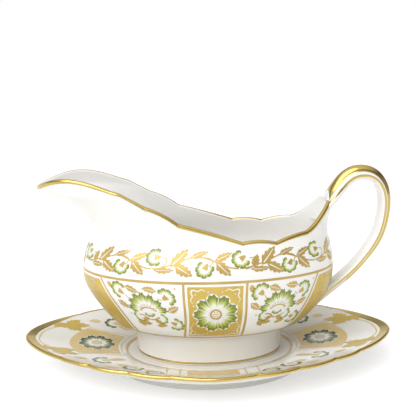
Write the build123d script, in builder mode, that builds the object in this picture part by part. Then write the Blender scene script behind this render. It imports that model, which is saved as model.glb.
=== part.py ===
"""An oval china gravy boat with a pouring lip and a loop handle, on its own oval stand.

Millimetres. X runs from the spout (-X) to the handle (+X), Z is up, and the origin is on the table
under the middle of the stand. The boat's hollow body, foot and handle are luted castings, and the
stand is a dish on a foot ring. The boat lifts straight up out of the well of the stand.
"""
from build123d import *
from math import atan2, copysign, cos, hypot, pi, sin
import os

os.makedirs("parts", exist_ok=True)

# ---- Driving dimensions -------------------------------------------------------------------------
STAND_HALF = (110.0, 69.0)  # half length and half width over the rim
STAND_POWER = 1.65  # superellipse power of the rim: under 2, so the ends are pointed
STAND_RIM_Z = 18.2  # rim height at the middle of the long sides
STAND_TIP_LIFT = 1.3  # how much higher the two tips are
STAND_CUSPS = (21.9, 45.7, 67.2, 84.2)  # X of the notches between the scallops of the rim
STAND_SCALLOP = 0.9  # bulge of a scallop beyond the chord between its notches
STAND_FOOT_HALF = (56.8, 43.8)  # outside of the foot ring at the table
STAND_FOOT_WALL = 4.0
STAND_FOOT_TOP = 5.0  # where the foot ring meets the dish
WELL_Z = 8.5  # floor of the well, where the boat stands
WELL_HALF = (49.0, 36.4)

BOAT_FOOT_HALF = (43.0, 30.5)
BOAT_FOOT_TOP = 25.0
BOAT_FOOT_FLARE = 1.4  # how much wider the foot is at its top
BOAT_FOOT_WALL = 3.0
WALL = 2.5  # thickness of the boat's wall
SECTION_POINTS = 48  # points around each section of the boat

# Side view of the outer wall: height, spout-side X, handle-side X and half width in Y
WALL_PROFILE = (
    (25.0, -47.5, 48.5, 32.3),
    (26.8, -53.0, 54.0, 34.9),
    (29.5, -57.2, 58.6, 37.6),
    (33.5, -60.7, 62.6, 40.3),
    (38.5, -64.4, 66.6, 42.8),
    (44.0, -68.2, 70.2, 44.8),
    (51.0, -72.0, 73.0, 46.2),
    (58.5, -73.7, 74.1, 46.6),
    (65.5, -73.2, 73.7, 45.4),
    (72.0, -71.4, 72.4, 42.2),
    (78.5, -69.5, 71.2, 38.0),
    (84.5, -69.3, 71.0, 35.3),
    (90.0, -71.8, 71.8, 34.4),
    (95.0, -76.6, 72.8, 33.9),
    (99.5, -82.6, 72.6, 33.4),
    (103.0, -89.2, 70.6, 33.0),
    (105.4, -95.2, 68.4, 32.7),
    (108.0, -98.6, 65.0, 32.2),
    (113.0, -101.6, 58.0, 31.4),
    (120.0, -104.0, 48.0, 30.0),
)
# Fullness of a section: y = half_width * (1 - r ** full) ** close, r being 0 at the middle and 1 at the end
FULLNESS = ((25.0, 2.0, 0.50), (60.0, 2.0, 0.51), (84.0, 2.9, 0.53), (102.0, 3.8, 0.61), (120.0, 3.8, 0.61))

# The rim seen from the side: notches of the scallops from the spout to the handle
RIM_NOTCHES = ((-54.2, 108.5), (-36.6, 99.8), (-18.2, 90.7), (17.1, 80.8), (35.9, 80.2), (54.1, 84.0))
RIM_BULGE = (1.0, 1.0, 0.4, 1.1, 0.7)  # rise of each scallop above its chord
RIM_SPOUT = ((-106.0, 101.5), (-98.6, 108.0), (-91.0, 112.0), (-83.5, 114.1), (-75.0, 114.4), (-64.0, 112.0))
RIM_HANDLE = ((58.5, 86.2), (64.0, 91.0), (68.5, 96.0), (71.5, 99.5), (78.0, 101.5))

# Middle line of the handle in the XZ plane, with its thickness and half width at each point
HANDLE_LINE = (
    (66.0, 92.0, 4.0, 14.0),
    (70.2, 98.2, 5.6, 10.6),
    (75.0, 104.5, 6.8, 7.8),
    (80.3, 109.7, 7.2, 6.9),
    (85.4, 112.6, 7.3, 6.8),
    (91.0, 113.5, 7.2, 6.8),
    (97.2, 111.7, 6.6, 6.7),
    (102.3, 106.2, 5.8, 6.6),
    (104.6, 98.0, 5.2, 6.5),
    (104.2, 88.0, 5.0, 6.4),
    (100.9, 75.6, 5.0, 6.3),
    (94.6, 65.2, 5.0, 6.2),
    (85.8, 54.8, 5.1, 6.2),
    (79.0, 48.6, 5.6, 6.0),
    (73.0, 43.6, 5.6, 5.4),
    (68.0, 39.0, 4.6, 4.6),
    (63.5, 34.0, 2.6, 3.6),
)


# ---- Curves -------------------------------------------------------------------------------------
def superellipse(half_x, half_y, power, angle):
    """A point at this parameter angle on a superellipse about the origin."""
    c = cos(angle)
    s = sin(angle)
    return (half_x * copysign(abs(c) ** (2 / power), c), half_y * copysign(abs(s) ** (2 / power), s))


def smooth(table, z):
    """Cubic interpolation of a table of (z, value) rows, with the slope of the neighbouring rows."""
    rows = sorted(table)
    if z <= rows[0][0]:
        return rows[0][1]
    if z >= rows[-1][0]:
        return rows[-1][1]
    k = max(i for i in range(len(rows) - 1) if rows[i][0] <= z)

    def slope(i):
        low = max(i - 1, 0)
        high = min(i + 1, len(rows) - 1)
        return (rows[high][1] - rows[low][1]) / (rows[high][0] - rows[low][0])

    span = rows[k + 1][0] - rows[k][0]
    t = (z - rows[k][0]) / span
    start = (2 * t**3 - 3 * t**2 + 1) * rows[k][1] + (t**3 - 2 * t**2 + t) * span * slope(k)
    end = (3 * t**2 - 2 * t**3) * rows[k + 1][1] + (t**3 - t**2) * span * slope(k + 1)
    return start + end


def column(index):
    """One of the side-view profiles of the outer wall, as (z, value) rows."""
    return [(row[0], row[index]) for row in WALL_PROFILE]


def moved_in(rows, gap):
    """The same profile moved inwards by gap, square to itself."""
    step = 0.2
    inner = []
    for z, value in rows:
        slope = (smooth(rows, z + step) - smooth(rows, z - step)) / (2 * step)
        side = copysign(1.0, value)
        length = hypot(1.0, slope)
        inner.append((z + gap * side * slope / length, value - gap * side / length))
    return inner


def section(left, right, width, z):
    """The closed outline of the boat at height z, as points around it."""
    x_left = smooth(left, z)
    x_right = smooth(right, z)
    half = smooth(width, z)
    full = smooth([(row[0], row[1]) for row in FULLNESS], z)
    close = smooth([(row[0], row[2]) for row in FULLNESS], z)
    middle = (x_left + x_right) / 2
    points = []
    for k in range(SECTION_POINTS):
        angle = 2 * pi * k / SECTION_POINTS
        r = abs(cos(angle)) ** (2 / full)
        y = half * (1 - r**full) ** close
        reach = x_right if cos(angle) > 0 else x_left
        points.append((middle + (reach - middle) * r, copysign(y, sin(angle)) if k % (SECTION_POINTS // 2) else 0.0))
    return points


def oval(half_x, half_y, power=2.0, points=48):
    """Points around a superellipse."""
    return [superellipse(half_x, half_y, power, 2 * pi * k / points) for k in range(points)]


# ---- Boat body: a thin hollow casting with a scalloped rim --------------------------------------
OUTER = [column(1), column(2), column(3)]
INNER = [moved_in(rows, WALL) for rows in OUTER]
floor_z = BOAT_FOOT_TOP + WALL


def levels(bottom, steps):
    """Heights from bottom upwards, given as (step, count) runs."""
    heights = [bottom]
    for step, count in steps:
        heights += [heights[-1] + step * (k + 1) for k in range(count)]
    return heights


OUTER_LEVELS = levels(BOAT_FOOT_TOP, ((1.0, 2), (1.5, 3), (2.5, 27), (2.0, 8)))
INNER_LEVELS = levels(floor_z + 0.3, ((1.0, 2), (1.5, 3), (2.5, 25), (2.0, 10)))


def lofted(profiles, heights):
    """A solid through the boat's sections at these heights."""
    with BuildPart() as solid:
        for z in heights:
            with BuildSketch(Plane.XY.offset(z)):
                with BuildLine():
                    Spline(section(*profiles, z), periodic=True)
                make_face()
        loft()
    return solid.part


outer_form = lofted(OUTER, OUTER_LEVELS)
inner_form = lofted(INNER, INNER_LEVELS)

with BuildPart() as boat_body:
    add(outer_form)
    add(inner_form, mode=Mode.SUBTRACT)
    with BuildSketch(Plane.XZ) as above_rim:
        with BuildLine():
            spout = Spline(RIM_SPOUT + RIM_NOTCHES[:1])
            for bulge, start, end in zip(RIM_BULGE, RIM_NOTCHES, RIM_NOTCHES[1:]):
                middle = ((start[0] + end[0]) / 2, (start[1] + end[1]) / 2 + bulge)
                ThreePointArc(start, middle, end)
            lip = Spline(RIM_NOTCHES[-1:] + RIM_HANDLE)
            Polyline(lip @ 1, (120, 101.5), (120, 140), (-120, 140), (-120, 100), spout @ 0)
        make_face()
    extrude(amount=80, both=True, mode=Mode.SUBTRACT)
boat_body.part.label = "boat_body"

# ---- Boat foot: an oval collar, open underneath -------------------------------------------------
with BuildPart() as boat_foot:
    for z, flare in ((WELL_Z, 0.0), (BOAT_FOOT_TOP, BOAT_FOOT_FLARE)):
        with BuildSketch(Plane.XY.offset(z)):
            Ellipse(BOAT_FOOT_HALF[0] + flare, BOAT_FOOT_HALF[1] + flare)
    loft()
    for z, flare in ((WELL_Z, 0.0), (BOAT_FOOT_TOP, BOAT_FOOT_FLARE)):
        with BuildSketch(Plane.XY.offset(z)):
            Ellipse(BOAT_FOOT_HALF[0] + flare - BOAT_FOOT_WALL, BOAT_FOOT_HALF[1] + flare - BOAT_FOOT_WALL)
    loft(mode=Mode.SUBTRACT)
boat_foot.part.label = "boat_foot"

# ---- Boat handle: a strap that springs from the rear of the rim and lands on the belly ----------
with BuildPart() as boat_handle:
    for k, (x, z, thickness, half_width) in enumerate(HANDLE_LINE):
        before = HANDLE_LINE[max(k - 1, 0)]
        after = HANDLE_LINE[min(k + 1, len(HANDLE_LINE) - 1)]
        along = Vector(after[0] - before[0], 0, after[1] - before[1])
        with BuildSketch(Plane(origin=(x, 0, z), x_dir=(0, 1, 0), z_dir=along)):
            RectangleRounded(2 * half_width, thickness, 0.36 * thickness)
    loft()
    add(outer_form, mode=Mode.SUBTRACT)
boat_handle.part.label = "boat_handle"

# ---- Stand: a scalloped oval dish with a sunk well ----------------------------------------------
def rim_cusps():
    """The notches of the rim in order round the stand, from the +X tip."""
    angles = []
    for x in STAND_CUSPS:
        ratio = (x / STAND_HALF[0]) ** (STAND_POWER / 2)
        angles.append(atan2((1 - ratio**2) ** 0.5, ratio))
    quarter = sorted(angles)
    ring = [0.0] + quarter + [pi - a for a in reversed(quarter)] + [pi]
    ring += [pi + a for a in quarter] + [2 * pi - a for a in reversed(quarter)]
    return ring


def dish_form(sections):
    """A solid through superellipse sections given as (z, half length, half width, power)."""
    with BuildPart() as solid:
        for z, half_x, half_y, power in sections:
            with BuildSketch(Plane.XY.offset(z)):
                with BuildLine():
                    Spline(oval(half_x, half_y, power), periodic=True)
                make_face()
        loft()
    return solid.part


LENGTH, WIDTH = STAND_HALF
well_x, well_y = WELL_HALF
top_z = STAND_RIM_Z + STAND_TIP_LIFT + 3
dish_outer = dish_form(
    (
        (STAND_FOOT_TOP, well_x + 8.5, well_y + 8.2, 2.0),
        (7.2, well_x + 18, well_y + 14, 1.9),
        (10.4, well_x + 34, well_y + 22.0, 1.78),
        (14.2, LENGTH - 13, WIDTH - 5.5, 1.7),
        (16.4, LENGTH - 4, WIDTH + 0.4, STAND_POWER),
        (18.0, LENGTH + 1.5, WIDTH + 3.0, STAND_POWER),
        (top_z, LENGTH + 6, WIDTH + 8, STAND_POWER),
    )
)
dish_inner = dish_form(
    (
        (WELL_Z, well_x, well_y, 2.0),
        (9.6, well_x + 2.6, well_y + 2.4, 2.0),
        (10.5, well_x + 6.5, well_y + 4.8, 1.95),
        (12.4, well_x + 19, well_y + 12.4, 1.85),
        (15.0, well_x + 38, well_y + 22.4, 1.75),
        (STAND_RIM_Z - 0.3, LENGTH - 2.4, WIDTH - 1.6, STAND_POWER),
        (top_z, LENGTH - 1.0, WIDTH - 0.6, STAND_POWER),
    )
)

with BuildPart() as stand_dish:
    add(dish_outer)
    add(dish_inner, mode=Mode.SUBTRACT)
    with BuildSketch():
        with BuildLine():
            ring = rim_cusps()
            for start, end in zip(ring, ring[1:] + [2 * pi]):
                begin = superellipse(LENGTH, WIDTH, STAND_POWER, start)
                finish = superellipse(LENGTH, WIDTH, STAND_POWER, end)
                x, y = superellipse(LENGTH, WIDTH, STAND_POWER, (start + end) / 2)
                swell = 1 + 0.5 * STAND_SCALLOP / hypot(x, y)
                ThreePointArc(begin, (x * swell, y * swell), finish)
        make_face()
    extrude(amount=top_z + 5, mode=Mode.INTERSECT)
    with BuildSketch(Plane.XZ):
        with BuildLine():
            edge = ThreePointArc((-LENGTH - 4, STAND_RIM_Z + STAND_TIP_LIFT), (0, STAND_RIM_Z),
                                 (LENGTH + 4, STAND_RIM_Z + STAND_TIP_LIFT))
            Polyline(edge @ 1, (LENGTH + 4, 60), (-LENGTH - 4, 60), edge @ 0)
        make_face()
    extrude(amount=WIDTH + 10, both=True, mode=Mode.SUBTRACT)
stand_dish.part.label = "stand_dish"

# ---- Stand foot ring ----------------------------------------------------------------------------
with BuildPart() as stand_foot_ring:
    with BuildSketch():
        Ellipse(*STAND_FOOT_HALF)
        Ellipse(STAND_FOOT_HALF[0] - STAND_FOOT_WALL, STAND_FOOT_HALF[1] - STAND_FOOT_WALL, mode=Mode.SUBTRACT)
    extrude(amount=STAND_FOOT_TOP)
stand_foot_ring.part.label = "stand_foot_ring"

for piece in (boat_body, boat_foot, boat_handle, stand_dish, stand_foot_ring):
    export_step(piece.part, f"parts/{piece.part.label}.step")
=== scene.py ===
"""Looks of an oval china gravy boat on its stand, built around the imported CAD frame.

The CAD parts fix every size and place. Smooth skins with the same section formulas stand for them,
and the gilding and the printed pattern are thin separate pieces on top. Lengths here are in
millimetres in the frame of the CAD, and become metres when a mesh is made.
"""
import math

import bmesh
import bpy
import numpy as np
from mathutils import Matrix, Vector
from mathutils.geometry import delaunay_2d_cdt


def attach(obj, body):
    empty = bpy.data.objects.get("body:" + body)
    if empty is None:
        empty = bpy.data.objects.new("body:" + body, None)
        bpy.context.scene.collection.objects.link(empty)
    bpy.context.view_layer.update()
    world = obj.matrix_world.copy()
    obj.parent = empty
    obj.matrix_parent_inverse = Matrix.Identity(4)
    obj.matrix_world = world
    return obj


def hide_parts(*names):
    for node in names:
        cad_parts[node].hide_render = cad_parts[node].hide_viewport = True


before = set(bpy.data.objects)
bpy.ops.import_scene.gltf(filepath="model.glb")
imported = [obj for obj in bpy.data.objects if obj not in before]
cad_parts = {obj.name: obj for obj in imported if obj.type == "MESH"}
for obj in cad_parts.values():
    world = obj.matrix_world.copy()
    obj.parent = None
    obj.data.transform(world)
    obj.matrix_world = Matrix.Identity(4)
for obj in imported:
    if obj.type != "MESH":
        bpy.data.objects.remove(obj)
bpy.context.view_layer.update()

MM = 0.001
HALVINGS = 40  # steps of a search by halving

# ---- Sizes shared with the CAD source ------------------------------------------------------------
# Side view of the boat's outer wall: height, spout-side X, handle-side X and half width in Y
WALL_PROFILE = (
    (25.0, -47.5, 48.5, 32.3),
    (26.8, -53.0, 54.0, 34.9),
    (29.5, -57.2, 58.6, 37.6),
    (33.5, -60.7, 62.6, 40.3),
    (38.5, -64.4, 66.6, 42.8),
    (44.0, -68.2, 70.2, 44.8),
    (51.0, -72.0, 73.0, 46.2),
    (58.5, -73.7, 74.1, 46.6),
    (65.5, -73.2, 73.7, 45.4),
    (72.0, -71.4, 72.4, 42.2),
    (78.5, -69.5, 71.2, 38.0),
    (84.5, -69.3, 71.0, 35.3),
    (90.0, -71.8, 71.8, 34.4),
    (95.0, -76.6, 72.8, 33.9),
    (99.5, -82.6, 72.6, 33.4),
    (103.0, -89.2, 70.6, 33.0),
    (105.4, -95.2, 68.4, 32.7),
    (108.0, -98.6, 65.0, 32.2),
    (113.0, -101.6, 58.0, 31.4),
    (120.0, -104.0, 48.0, 30.0),
)
# The rim from the side: its notches, the rise of each scallop, and splines at the spout and the handle
RIM_NOTCHES = ((-54.2, 108.5), (-36.6, 99.8), (-18.2, 90.7), (17.1, 80.8), (35.9, 80.2), (54.1, 84.0))
RIM_BULGE = (1.0, 1.0, 0.4, 1.1, 0.7)
RIM_SPOUT = ((-106.0, 101.5), (-98.6, 108.0), (-91.0, 112.0), (-83.5, 114.1), (-75.0, 114.4), (-64.0, 112.0))
RIM_HANDLE = ((58.5, 86.2), (64.0, 91.0), (68.5, 96.0), (71.5, 99.5), (78.0, 101.5))
WALL = 2.5
FOOT_HALF = (43.0, 30.5)
FOOT_TOP = 25.0
FOOT_FLARE = 1.4
FOOT_WALL = 3.0
WELL_Z = 8.5

# Handle: X and Z of the middle line, thickness, half width, how far the sides bend back, moulding
HANDLE_STATIONS = (
    (69.7, 84.5, 1.4, 17.0, 7.0, 0.0),
    (70.5, 90.0, 2.1, 15.5, 5.5, 0.0),
    (72.0, 94.8, 3.5, 13.0, 3.9, 0.0),
    (73.3, 99.4, 7.0, 10.2, 1.2, 0.25),
    (76.0, 104.0, 8.0, 8.2, 0.2, 0.7),
    (79.8, 108.8, 8.4, 7.0, 0.0, 1.0),
    (85.4, 112.7, 8.6, 6.8, 0.0, 1.0),
    (91.0, 113.6, 8.5, 6.8, 0.0, 1.0),
    (97.3, 111.9, 7.8, 6.7, 0.0, 1.0),
    (102.5, 106.3, 7.0, 6.6, 0.0, 1.0),
    (104.9, 98.0, 6.5, 6.5, 0.0, 1.0),
    (104.5, 88.0, 6.4, 6.4, 0.0, 1.0),
    (101.1, 75.4, 6.3, 6.3, 0.0, 1.0),
    (94.7, 65.0, 6.0, 6.2, 0.0, 1.0),
    (85.8, 54.7, 5.8, 6.2, 0.0, 1.0),
    (79.0, 48.6, 5.8, 6.0, 0.0, 0.8),
    (73.0, 43.6, 5.6, 5.4, 0.0, 0.4),
    (68.0, 39.0, 4.6, 4.6, 0.0, 0.1),
    (63.5, 34.0, 2.6, 3.6, 0.0, 0.0),
)
# Half of the handle's moulded section, from the inside face round to the top of the ridge
HANDLE_SECTION = (
    (0.0, -1.0), (0.30, -1.0), (0.55, -0.97), (0.78, -0.90), (0.92, -0.76), (0.985, -0.55), (1.0, -0.3),
    (0.965, -0.05), (0.87, 0.08), (0.76, 0.10), (0.66, 0.20), (0.61, 0.42), (0.50, 0.72), (0.28, 0.94),
    (0.0, 1.0),
)
# The same points on the plain section at the two roots
PLAIN_SECTION = (
    (0.0, -1.0), (0.30, -1.0), (0.55, -0.97), (0.78, -0.88), (0.92, -0.70), (0.985, -0.45), (1.0, -0.2),
    (0.985, 0.06), (0.94, 0.30), (0.88, 0.48), (0.78, 0.66), (0.66, 0.80), (0.48, 0.90), (0.25, 0.97),
    (0.0, 1.0),
)

STAND_HALF = (110.0, 69.0)
STAND_POWER = 1.65
STAND_RIM_Z = 18.2
STAND_TIP_LIFT = 1.3
STAND_CUSPS = (21.9, 45.7, 67.2, 84.2)
STAND_SCALLOP = 0.9
STAND_FOOT_HALF = (56.8, 43.8)
STAND_FOOT_WALL = 4.0
STAND_FOOT_TOP = 5.0
# Height, half length, half width and superellipse power up the dish, above and below
DISH_ABOVE = (
    (8.5, 49.0, 36.4, 2.0),
    (9.6, 51.6, 38.8, 2.0),
    (10.5, 55.5, 41.2, 1.95),
    (12.4, 68.0, 48.8, 1.85),
    (15.0, 87.0, 58.8, 1.75),
    (17.9, 107.6, 67.4, 1.65),
)
DISH_BELOW = (
    (5.0, 57.5, 44.6, 2.0),
    (7.2, 67.0, 50.4, 1.9),
    (10.4, 83.0, 58.4, 1.78),
    (14.2, 97.0, 63.5, 1.7),
    (15.0, 100.0, 64.9, 1.68),
)

# ---- Layout of the pattern -----------------------------------------------------------------------
UPPER_LINE_Z = 61.3
LOWER_LINE_Z = 27.4
FRIEZE_Z = 71.2
FRIEZE_PERIODS = 8
FRIEZE_START = -31.8  # a trough of the stem, along the wall from the middle of the front
SKIN_LIFT = 0.06  # how far the print stands off the glaze
EDGE_LIFT = 0.11
PETAL_LIFT = 0.16
CENTRE_LIFT = 0.21
SPACING = 1.7  # longest edge of a printed face
PANEL_INSET = 2.0


# ---- Curves --------------------------------------------------------------------------------------
def natural_spline(knots, values):
    """A function for the natural cubic spline through these values."""
    x = np.asarray(knots, float)
    y = np.asarray(values, float)
    count = len(x)
    h = np.diff(x)
    matrix = np.eye(count)
    right = np.zeros(count)
    for i in range(1, count - 1):
        matrix[i, i - 1 : i + 2] = (h[i - 1], 2 * (h[i - 1] + h[i]), h[i])
        right[i] = 6 * ((y[i + 1] - y[i]) / h[i] - (y[i] - y[i - 1]) / h[i - 1])
    bend = np.linalg.solve(matrix, right)

    def at(place):
        place = np.clip(np.asarray(place, float), x[0], x[-1])
        k = np.clip(np.searchsorted(x, place, side="right") - 1, 0, count - 2)
        t = place - x[k]
        slope = (y[k + 1] - y[k]) / h[k] - h[k] * (2 * bend[k] + bend[k + 1]) / 6
        return y[k] + t * (slope + t * (bend[k] / 2 + t * (bend[k + 1] - bend[k]) / (6 * h[k])))

    return at


def path_length(points):
    """Distance along a path to each of its points."""
    return np.concatenate(([0.0], np.cumsum(np.linalg.norm(np.diff(points, axis=0), axis=1))))


def through(rows):
    """Splines of every column of rows against the distance along the first two columns."""
    table = np.asarray(rows, float)
    along = path_length(table[:, :2])
    return along, [natural_spline(along, table[:, k]) for k in range(table.shape[1])]


def unit(vectors):
    """The vectors at length one."""
    return vectors / np.maximum(np.linalg.norm(vectors, axis=-1, keepdims=True), 1e-12)


def eased(t):
    """A smooth step from 0 to 1."""
    t = np.clip(t, 0, 1)
    return t * t * (3 - 2 * t)


# ---- The boat's wall as a surface: psi runs round from the middle of the front --------------------
WALL_LEVELS, *WALL_SIDES = zip(*WALL_PROFILE)
left_at, right_at, width_at = [natural_spline(WALL_LEVELS, side) for side in WALL_SIDES]


def wall(psi, z):
    """Points of the outer wall: near ellipses at the foot, fuller ovals at the rim."""
    psi, z = np.broadcast_arrays(np.asarray(psi, float), np.asarray(z, float))
    full = 2.0 + 1.8 * eased((z - 60) / 42)
    close = 0.505 + 0.105 * eased((z - 68) / 36)
    middle = (left_at(z) + right_at(z)) / 2
    reach = (right_at(z) - left_at(z)) / 2
    r = np.abs(np.sin(psi))
    y = width_at(z) * np.maximum(1 - r**full, 0) ** close
    return np.stack([middle + reach * np.sign(np.sin(psi)) * r, -np.sign(np.cos(psi)) * y, z], -1)


def wall_normal(psi, z):
    """Outward normals of the outer wall."""
    psi, z = np.broadcast_arrays(np.asarray(psi, float), np.asarray(z, float))
    step = 0.004
    around = wall(psi + step, z) - wall(psi - step, z)
    up = wall(psi, z + 0.05) - wall(psi, z - 0.05)
    normal = unit(np.cross(around, up))
    outward = wall(psi, z) - np.array([0.5, 0.0, 0.0])
    flip = np.sign(np.sum(normal[..., :2] * outward[..., :2], -1, keepdims=True))
    return normal * np.where(flip == 0, 1, flip)


def off_wall(psi, z, lift):
    """Points this far outside the outer wall."""
    return wall(psi, z) + lift * wall_normal(psi, z)


def rim_curve():
    """X and Z of the rim seen from the side."""
    xs = []
    zs = []

    def run(points):
        along, (x, z) = through(points)
        t = np.linspace(0, along[-1], 120)
        xs.extend(x(t))
        zs.extend(z(t))

    run(RIM_SPOUT + RIM_NOTCHES[:1])
    for bulge, start, end in zip(RIM_BULGE, RIM_NOTCHES, RIM_NOTCHES[1:]):
        t = np.linspace(0, 1, 30)[1:]
        xs.extend(start[0] + (end[0] - start[0]) * t)
        zs.extend(start[1] + (end[1] - start[1]) * t + 4 * bulge * t * (1 - t))
    run(RIM_NOTCHES[-1:] + RIM_HANDLE)
    return np.array(xs), np.array(zs)


RIM_X, RIM_Z = rim_curve()


def rim_level(psi):
    """Height of the rim in each column of the wall."""
    low = np.full(np.shape(psi), 72.0)
    high = np.full(np.shape(psi), 119.0)
    for _ in range(HALVINGS):
        z = (low + high) / 2
        above = z > np.interp(wall(psi, z)[..., 0], RIM_X, RIM_Z)
        high = np.where(above, z, high)
        low = np.where(above, low, z)
    return (low + high) / 2


def wall_columns(count):
    """Angles of the columns, evenly spaced, with one moved to each notch of the rim."""
    psi = np.linspace(-math.pi, math.pi, count, endpoint=False)
    fine = np.linspace(-math.pi / 2, math.pi / 2, 1500)
    fine_x = wall(fine, rim_level(fine))[:, 0]
    for x, _ in RIM_NOTCHES:
        front = float(np.interp(x, fine_x, fine))
        for angle in (front, math.copysign(math.pi, front) - front):
            psi[np.argmin(np.abs(psi - angle))] = angle
    return psi


# Distance round the wall from the middle of the front, at each height
CHART_STEP = 0.5
CHART_Z = np.arange(25.0, 84.01, CHART_STEP)
CHART_PSI = np.linspace(0, math.pi, 1201)
CHART_SHARE = np.linspace(0, 1, 601)


def wall_tables():
    """Half perimeter at each height, and the angle at each share of it."""
    halves = []
    angles = []
    for z in CHART_Z:
        points = wall(CHART_PSI, z)
        length = path_length(points)
        halves.append(length[-1])
        angles.append(np.interp(CHART_SHARE, length / length[-1], CHART_PSI))
    return np.array(halves), np.array(angles)


CHART_HALF, CHART_ANGLE = wall_tables()
PROFILE_LENGTH = path_length(np.stack([CHART_Z, width_at(CHART_Z)], -1))


def half_perimeter(z):
    """Half the distance round the wall at this height."""
    return np.interp(z, CHART_Z, CHART_HALF)


def psi_at(u, z):
    """The angle at distance u round the wall from the middle of the front."""
    half = half_perimeter(z)
    u = (u + half) % (2 * half) - half
    share = np.abs(u) / half * (len(CHART_SHARE) - 1)
    level = np.clip((z - CHART_Z[0]) / CHART_STEP, 0, len(CHART_Z) - 1.001)
    i = np.clip(share.astype(int), 0, len(CHART_SHARE) - 2)
    k = level.astype(int)
    p = share - i
    q = level - k
    low = CHART_ANGLE[k, i] * (1 - p) + CHART_ANGLE[k, i + 1] * p
    high = CHART_ANGLE[k + 1, i] * (1 - p) + CHART_ANGLE[k + 1, i + 1] * p
    return np.sign(u) * (low * (1 - q) + high * q)


def distance_at_x(x, z):
    """Distance round the front of the wall to this X at this height."""
    front = np.linspace(-math.pi / 2, math.pi / 2, 1201)
    points = wall(front, z)
    length = path_length(points)
    place = np.interp(x, points[:, 0], length)
    return float(place - length[len(front) // 2])


def along_profile(z):
    """Distance up the wall, measured along its profile."""
    return np.interp(z, CHART_Z, PROFILE_LENGTH)


def round_share(share):
    """A line up the wall at a fixed share of the distance round it."""
    return lambda z: share * 2 * half_perimeter(z)


def straight_line(top, bottom):
    """A line up the wall between the two gold lines, by its distances round at its ends."""
    low = along_profile(LOWER_LINE_Z)
    high = along_profile(UPPER_LINE_Z)
    return lambda z: bottom + (top - bottom) * (along_profile(z) - low) / (high - low)


def wall_chart(line, z0):
    """Maps a flat pattern to the wall, with its origin on this line at height z0."""

    def place(flat, lift):
        a, b = np.transpose(flat)
        z = np.interp(along_profile(z0) + b, PROFILE_LENGTH, CHART_Z)
        return off_wall(psi_at(line(z) + a, z), z, lift)

    return place


def chained(chart, at, turn=0.0):
    """A chart at a place in another chart, turned by this angle in degrees."""
    c = math.cos(math.radians(turn))
    s = math.sin(math.radians(turn))

    def place(flat, lift):
        a, b = np.transpose(flat)
        return chart(np.stack([a * c - b * s + at[0], a * s + b * c + at[1]], -1), lift)

    return place


# ---- The stand's top as a surface ----------------------------------------------------------------
ABOVE_LENGTH, ABOVE = through([(r[1], r[0], r[2], r[3]) for r in DISH_ABOVE])
BELOW_LENGTH, BELOW = through([(r[1], r[0], r[2], r[3]) for r in DISH_BELOW])


def superellipse(half_x, half_y, power, angle):
    """Points at these parameter angles on a superellipse."""
    c = np.cos(angle)
    s = np.sin(angle)
    x = half_x * np.sign(c) * np.abs(c) ** (2 / power)
    y = half_y * np.sign(s) * np.abs(s) ** (2 / power)
    return np.stack([x, y], -1)


def cusp_angles():
    """Parameter angles of the notches in the stand's rim, once round from the +X tip."""
    quarter = []
    for x in STAND_CUSPS:
        ratio = (x / STAND_HALF[0]) ** (STAND_POWER / 2)
        quarter.append(math.atan2((1 - ratio**2) ** 0.5, ratio))
    quarter.sort()
    ring = [0.0] + quarter + [math.pi - a for a in reversed(quarter)] + [math.pi]
    return np.array(ring + [math.pi + a for a in quarter] + [2 * math.pi - a for a in reversed(quarter)])


def scallop_place(angle):
    """Which scallop of the stand each angle is in, and how far through it."""
    ends = np.append(cusp_angles(), 2 * math.pi)
    k = np.clip(np.searchsorted(ends, angle, side="right") - 1, 0, len(ends) - 2)
    return k, (angle - ends[k]) / (ends[k + 1] - ends[k])


FLAT_SCALLOPS = (0, 9, 10, 17)  # the low ones by the tips, counted from the +X tip


def stand_outline(angle):
    """The scalloped outline of the stand."""
    k, share = scallop_place(angle)
    points = superellipse(*STAND_HALF, STAND_POWER, angle)
    reach = np.linalg.norm(points, axis=-1)
    swell = 1.5 * STAND_SCALLOP * (np.abs(np.sin(math.pi * share)) ** 0.7 - 0.6)
    swell = np.where(np.isin(k, FLAT_SCALLOPS), np.minimum(swell, 0.2) * 0.5, swell)
    return points * (1 + swell / reach)[..., None]


def stand_columns(count):
    """Parameter angles of the columns, evenly spaced, with one moved to each notch."""
    angle = np.linspace(0, 2 * math.pi, count, endpoint=False)
    for cusp in cusp_angles():
        angle[np.argmin(np.abs(angle - cusp))] = cusp
    return angle


def tip_lift(x):
    """How much higher the rim is this far from the middle."""
    return STAND_TIP_LIFT * (x / (STAND_HALF[0] + 4)) ** 2


def above_level(x, y):
    """Distance up the table of the dish's top at this place."""
    low = np.zeros(np.shape(x))
    high = np.full(np.shape(x), ABOVE_LENGTH[-1] + 0.0)
    for _ in range(HALVINGS):
        s = (low + high) / 2
        outside = (np.abs(x) / ABOVE[0](s)) ** ABOVE[3](s) + (np.abs(y) / ABOVE[2](s)) ** ABOVE[3](s) > 1
        low = np.where(outside, s, low)
        high = np.where(outside, high, s)
    return (low + high) / 2


def edge_blend_at(half_length):
    """How far an oval of the dish with this half length follows the lift of the rim."""
    return eased((half_length - 82) / 26)


def dish_height(x, y):
    """Height of the dish's top."""
    s = above_level(x, y)
    inside = (np.abs(x) / DISH_ABOVE[0][1]) ** 2 + (np.abs(y) / DISH_ABOVE[0][2]) ** 2 < 1
    return np.where(inside, WELL_Z, ABOVE[1](s) + edge_blend_at(ABOVE[0](s)) * tip_lift(x))


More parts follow.
